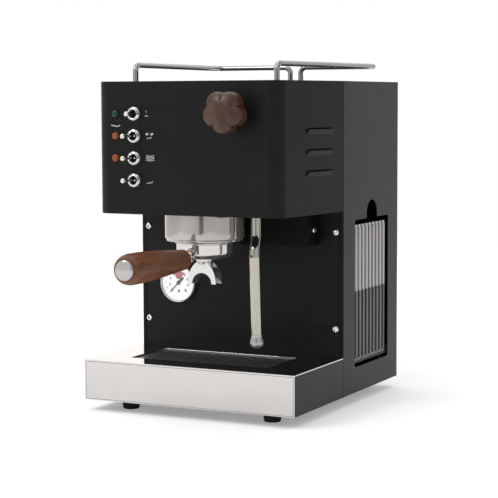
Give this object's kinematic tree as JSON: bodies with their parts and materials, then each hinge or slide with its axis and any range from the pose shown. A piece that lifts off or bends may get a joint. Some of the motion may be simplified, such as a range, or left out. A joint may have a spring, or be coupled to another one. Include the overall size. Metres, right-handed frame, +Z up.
{
  "type": "espresso machine",
  "caption": "Boxy home espresso machine with a portafilter group, steam wand, toggle switches, pressure gauge, drip tray and side water tank.",
  "frame": {"origin": "middle of the footprint, handle included, at table level under the feet", "axes": "+Z up, -Y towards the user (the front), +X to the user's right"},
  "size_m": [0.25, 0.4066, 0.3755],
  "materials": {
    "black_paint": "satin black powder coat with a very fine texture",
    "polished_steel": "mirror-polished stainless steel",
    "chrome": "bright chrome plate",
    "wand_steel": "polished stainless steel",
    "screw_steel": "bright zinc plate",
    "zinc_steel": "zinc-plated steel, dull",
    "brass": "machined brass",
    "copper": "bare copper",
    "black_rubber": "matte",
    "walnut": "oiled walnut, fine grain along the handle",
    "black_plastic": "fine moulded texture",
    "grid_paint": "semi-gloss black coating",
    "clear_plastic": "smoky clear polycarbonate",
    "lens_glass": "clear",
    "green_lens": "translucent, unlit",
    "amber_lens": "translucent, unlit",
    "dial_white": "printed white dial",
    "pointer_black": "matte black",
    "circuit_board": "solder mask over glass fibre",
    "silicone": "translucent silicone"
  },
  "bodies": {
    "root": {"base_pan": "black_paint", "feet": "black_rubber", "casing_wrap": "black_paint", "frame_uprights": "zinc_steel", "back_panel": "black_paint", "panel_screws": "screw_steel", "valve_housing": "black_paint", "head_shell": "black_paint", "head_floor": "black_paint", "top_plate": "black_paint", "rail_left": "chrome", "rail_right": "chrome", "casing_screws": "screw_steel", "power_inlet": "black_plastic", "group_bell": "chrome", "group_head": "brass", "group_gasket": "black_rubber", "dispersion_block": "brass", "shower_screen": "wand_steel", "shower_screw": "screw_steel", "boiler": "brass", "heating_elements": "wand_steel", "solenoid_valve": "black_plastic", "knob_escutcheon": "chrome", "steam_valve": "brass", "steam_pipe": "copper", "wand_joint": "chrome", "toggle_nuts": "chrome", "toggle_bodies": "black_plastic", "lamp_green": "green_lens", "lamps_amber": "amber_lens", "gauge_case": "zinc_steel", "gauge_dial": "dial_white", "gauge_lens": "lens_glass", "control_board": "circuit_board", "tank_shelf": "black_plastic", "pump": "black_plastic", "pump_mounts": "black_rubber", "suction_hose": "silicone", "pressure_hose": "silicone"},
    "portafilter": {"portafilter_body": "chrome", "filter_basket": "wand_steel", "double_spout": "chrome", "handle_ferrule": "chrome", "portafilter_handle": "walnut", "handle_stud": "screw_steel", "handle_cap": "chrome"},
    "steam_control": {"steam_knob": "walnut", "valve_stem": "wand_steel"},
    "wand": {"steam_wand": "wand_steel", "wand_tip": "chrome"},
    "toggle_power": {"toggle_lever_power": "chrome"},
    "toggle_brew": {"toggle_lever_brew": "chrome"},
    "toggle_steam": {"toggle_lever_steam": "chrome"},
    "toggle_water": {"toggle_lever_water": "chrome"},
    "gauge_pointer": {"gauge_needle": "pointer_black"},
    "tray": {"tray_cover": "polished_steel", "drip_basin": "black_plastic"},
    "grid": {"drip_grid": "grid_paint"},
    "tank": {"water_tank": "clear_plastic"}
  },
  "joints": [
    {"name": "portafilter_lock", "type": "hinge", "parent": "root", "child": "portafilter", "pos_m": [-0.004, -0.03335, 0.1685], "axis": [0, 0, 1], "range_deg": [-50, 0]},
    {"name": "steam_valve_turn", "type": "hinge", "parent": "root", "child": "steam_control", "pos_m": [0.0575, -0.10185, 0.3225], "axis": [0, -1, 0], "range_deg": [0, 540]},
    {"name": "wand_swivel", "type": "hinge", "parent": "root", "child": "wand", "pos_m": [0.0575, -0.03335, 0.2145], "axis": [0, 0, 1], "range_deg": [-60, 90]},
    {"name": "power_toggle", "type": "hinge", "parent": "root", "child": "toggle_power", "pos_m": [-0.0605, -0.08285, 0.3205], "axis": [0, 0, 1], "range_deg": [-20, 20]},
    {"name": "brew_toggle", "type": "hinge", "parent": "root", "child": "toggle_brew", "pos_m": [-0.0605, -0.08285, 0.2972], "axis": [0, 0, 1], "range_deg": [0, 40]},
    {"name": "steam_toggle", "type": "hinge", "parent": "root", "child": "toggle_steam", "pos_m": [-0.0605, -0.08285, 0.2739], "axis": [0, 0, 1], "range_deg": [0, 40]},
    {"name": "water_toggle", "type": "hinge", "parent": "root", "child": "toggle_water", "pos_m": [-0.0605, -0.08285, 0.2506], "axis": [0, 0, 1], "range_deg": [0, 40]},
    {"name": "gauge_needle_turn", "type": "hinge", "parent": "root", "child": "gauge_pointer", "pos_m": [-0.077, 0.04015, 0.1285], "axis": [0, 1, 0], "range_deg": [0, 270], "stiffness_Nm_per_rad": 0.0002},
    {"name": "tray_slide", "type": "slide", "parent": "root", "child": "tray", "axis": [0, -1, 0], "range_m": [0, 0.11]},
    {"name": "grid_lift", "type": "slide", "parent": "tray", "child": "grid", "axis": [0, 0, 1], "range_m": [0, 0.012]},
    {"name": "tank_slide", "type": "slide", "parent": "root", "child": "tank", "axis": [1, 0, 0], "range_m": [0, 0.165]}
  ]
}
